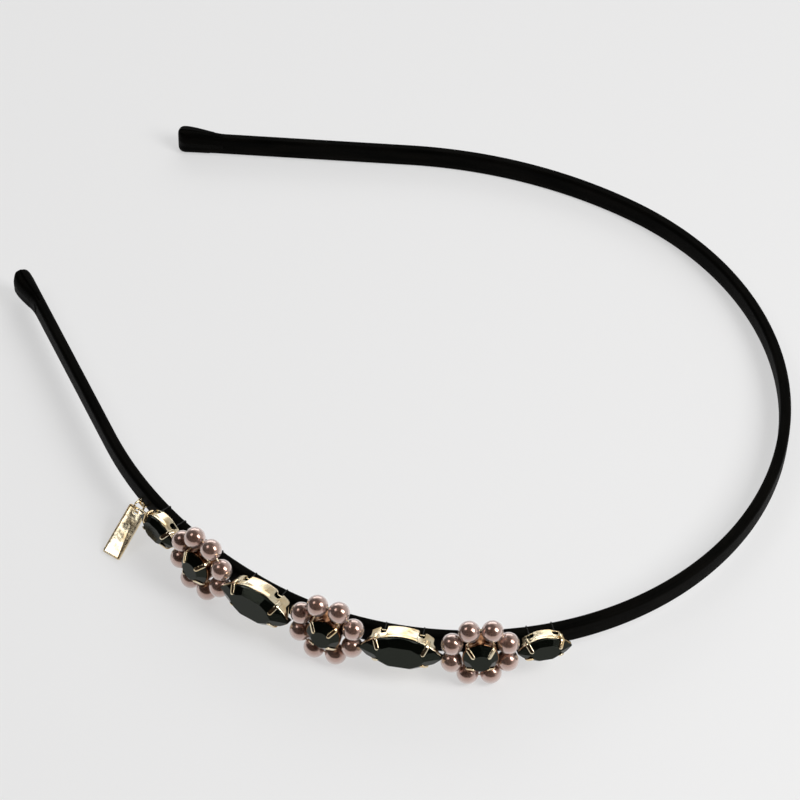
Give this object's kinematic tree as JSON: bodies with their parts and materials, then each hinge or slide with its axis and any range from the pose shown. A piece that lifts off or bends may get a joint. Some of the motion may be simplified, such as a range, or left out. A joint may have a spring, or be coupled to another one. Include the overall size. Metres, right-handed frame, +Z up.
{
  "type": "headband",
  "caption": "Slim ribbon-wrapped U-shaped headband with black navette stones and pearl flowers in gold claw settings along one arm, and a small plain gold tag on a jump ring",
  "frame": {"origin": "middle of the object's bounding box, on the table top that the headband lies on", "axes": "+Z up from the table, +Y from the crown of the band towards its two tips, +X towards the plain arm; the ornaments are on the -X arm"},
  "size_m": [0.1326, 0.1516, 0.0142],
  "materials": {
    "black_ribbon": "black satin ribbon, close weave",
    "core_steel": "plain spring strip, hidden inside the ribbon",
    "black_thread": "twisted sewing thread",
    "pale_gold": "polished pale gold plating",
    "black_stone": "cut and polished opaque black glass",
    "pearl": "mauve-grey pearl coating"
  },
  "bodies": {
    "headband": {"bead_wire_1": "pale_gold", "bead_wire_2": "pale_gold", "bead_wire_3": "pale_gold", "core_strip": "core_steel", "flower_setting_1": "pale_gold", "flower_setting_2": "pale_gold", "flower_setting_3": "pale_gold", "flower_stone_1": "black_stone", "flower_stone_2": "black_stone", "flower_stone_3": "black_stone", "flower_thread_1": "black_thread", "flower_thread_2": "black_thread", "flower_thread_3": "black_thread", "left_end_cap": "black_ribbon", "navette_setting_1": "pale_gold", "navette_setting_2": "pale_gold", "navette_setting_3": "pale_gold", "navette_setting_4": "pale_gold", "navette_stone_1": "black_stone", "navette_stone_2": "black_stone", "navette_stone_3": "black_stone", "navette_stone_4": "black_stone", "navette_thread_1": "black_thread", "navette_thread_2": "black_thread", "navette_thread_3": "black_thread", "navette_thread_4": "black_thread", "pearl_1_1": "pearl", "pearl_1_2": "pearl", "pearl_1_3": "pearl", "pearl_1_4": "pearl", "pearl_1_5": "pearl", "pearl_1_6": "pearl", "pearl_1_7": "pearl", "pearl_1_8": "pearl", "pearl_2_1": "pearl", "pearl_2_2": "pearl", "pearl_2_3": "pearl", "pearl_2_4": "pearl", "pearl_2_5": "pearl", "pearl_2_6": "pearl", "pearl_2_7": "pearl", "pearl_2_8": "pearl", "pearl_3_1": "pearl", "pearl_3_2": "pearl", "pearl_3_3": "pearl", "pearl_3_4": "pearl", "pearl_3_5": "pearl", "pearl_3_6": "pearl", "pearl_3_7": "pearl", "pearl_3_8": "pearl", "ribbon_wrap": "black_ribbon", "right_end_cap": "black_ribbon", "tag_loop": "pale_gold"},
    "jump_ring": {"jump_ring": "pale_gold"},
    "tag": {"tag": "pale_gold"}
  },
  "joints": [
    {"name": "ring_swing", "type": "hinge", "parent": "headband", "child": "jump_ring", "pos_m": [-0.05652, 0.01926, 0.00601], "axis": [0.3429, 0.9392, -0.0184], "range_deg": [-20, 95]},
    {"name": "tag_swing", "type": "hinge", "parent": "jump_ring", "child": "tag", "pos_m": [-0.05801, 0.01926, 0.00512], "axis": [-0.5136, 0, 0.8581], "range_deg": [-35, 12]}
  ]
}
